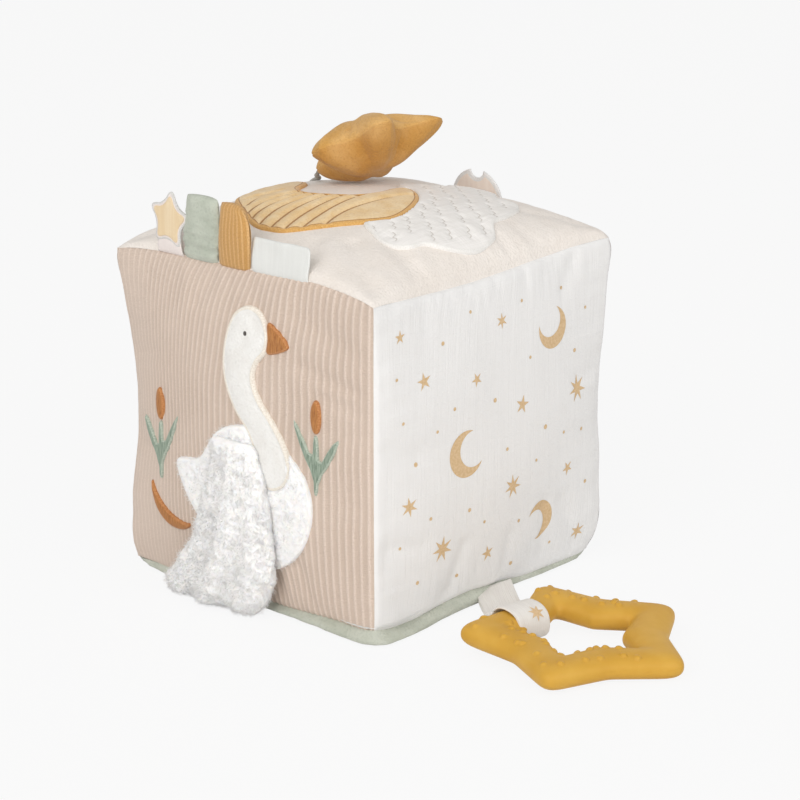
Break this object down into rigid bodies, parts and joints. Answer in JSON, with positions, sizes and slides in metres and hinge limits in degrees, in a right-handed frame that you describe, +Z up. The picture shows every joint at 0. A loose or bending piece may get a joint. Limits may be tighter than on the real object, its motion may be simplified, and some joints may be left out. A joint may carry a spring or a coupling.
{
  "type": "soft fabric activity block",
  "caption": "Soft fabric activity block with sewn-on shapes, a lifting flap, edge tags, a tethered plush star and a star teether on a strap.",
  "frame": {"origin": "middle of the base, on the surface that the block stands on", "axes": "+Z up; the corduroy face with the swan looks along -Y, the printed face along +X; the teether lies beyond +X"},
  "size_m": [0.2756, 0.1762, 0.2039],
  "materials": {
    "corduroy": "fine-ribbed beige corduroy",
    "printed_cotton": "off-white cotton with a gold print",
    "cream_velour": "matt cream velour",
    "sage_velour": "matt sage velour",
    "polyester_filling": "loose white fibre",
    "white_velour": "short white pile",
    "white_sherpa": "shaggy white pile",
    "rust_thread": "satin stitch",
    "dark_thread": "satin stitch",
    "sage_thread": "satin stitch",
    "ochre_velour": "padded velour",
    "cloud_cotton": "quilted cotton",
    "peach_satin": "satin",
    "ochre_corduroy": "ribbed corduroy",
    "white_label": "woven label, bare",
    "taupe_satin": "satin",
    "mustard_silicone": "matt silicone",
    "offwhite_ribbon": "woven ribbon",
    "ochre_plush": "short ochre pile",
    "grey_cord": "twisted cord"
  },
  "bodies": {
    "block": {"corduroy_panel": "corduroy", "printed_panel": "printed_cotton", "back_panel": "corduroy", "left_panel": "printed_cotton", "top_panel": "cream_velour", "base_panel": "sage_velour", "stuffing": "polyester_filling", "swan_neck": "white_velour", "swan_body": "white_sherpa", "swan_beak": "rust_thread", "swan_eye": "dark_thread", "reeds_left": "sage_thread", "cattail_left": "rust_thread", "reeds_right": "sage_thread", "cattail_right": "rust_thread", "rust_leaf": "rust_thread", "tail_applique": "ochre_velour", "cloud_applique": "cloud_cotton"},
    "wing_flap": {"wing_flap": "white_sherpa"},
    "star_tag": {"star_tag": "peach_satin"},
    "sage_tag": {"sage_tag": "sage_velour"},
    "corduroy_tag": {"corduroy_tag": "ochre_corduroy"},
    "label_tag": {"label_tag": "white_label"},
    "moon_tag": {"moon_tag": "taupe_satin"},
    "teether_strap": {"teether_strap": "offwhite_ribbon"},
    "star_teether": {"star_teether": "mustard_silicone"},
    "plush_star": {"plush_star": "ochre_plush", "star_tether": "grey_cord"}
  },
  "joints": [
    {"name": "wing_lift", "type": "hinge", "parent": "block", "child": "wing_flap", "pos_m": [-0.002, -0.0835, 0.078], "axis": [-1, 0, 0], "range_deg": [0, 90]},
    {"name": "star_tag_bend", "type": "hinge", "parent": "block", "child": "star_tag", "pos_m": [-0.0442, -0.07695, 0.1526], "axis": [1, 0, 0], "range_deg": [-10, 110], "stiffness_Nm_per_rad": 0.002},
    {"name": "sage_tag_bend", "type": "hinge", "parent": "block", "child": "sage_tag", "pos_m": [-0.0231, -0.0781, 0.1528], "axis": [1, 0, 0], "range_deg": [-5, 110], "stiffness_Nm_per_rad": 0.002},
    {"name": "corduroy_tag_bend", "type": "hinge", "parent": "block", "child": "corduroy_tag", "pos_m": [-0.0043, -0.078, 0.1528], "axis": [1, 0, 0], "range_deg": [-5, 110], "stiffness_Nm_per_rad": 0.002},
    {"name": "label_tag_bend", "type": "hinge", "parent": "block", "child": "label_tag", "pos_m": [0.0208, -0.07602, 0.1529], "axis": [1, 0, 0], "range_deg": [-5, 110], "stiffness_Nm_per_rad": 0.002},
    {"name": "moon_tag_bend", "type": "hinge", "parent": "block", "child": "moon_tag", "pos_m": [0.0015, 0.0762, 0.1528], "axis": [-1, 0, 0], "range_deg": [-10, 110], "stiffness_Nm_per_rad": 0.002},
    {"name": "strap_lift", "type": "hinge", "parent": "block", "child": "teether_strap", "pos_m": [0.0752, 0.0025, 0.0052], "axis": [0, -1, 0], "range_deg": [0, 35]},
    {"name": "teether_swivel", "type": "hinge", "parent": "teether_strap", "child": "star_teether", "pos_m": [0.118, -0.0255, 0.0082], "axis": [0, -1, 0], "range_deg": [-5, 10]},
    {"name": "star_swing", "type": "hinge", "parent": "block", "child": "plush_star", "pos_m": [-0.0786, 0.044, 0.1526], "axis": [0, -1, 0], "range_deg": [0, 180]}
  ]
}
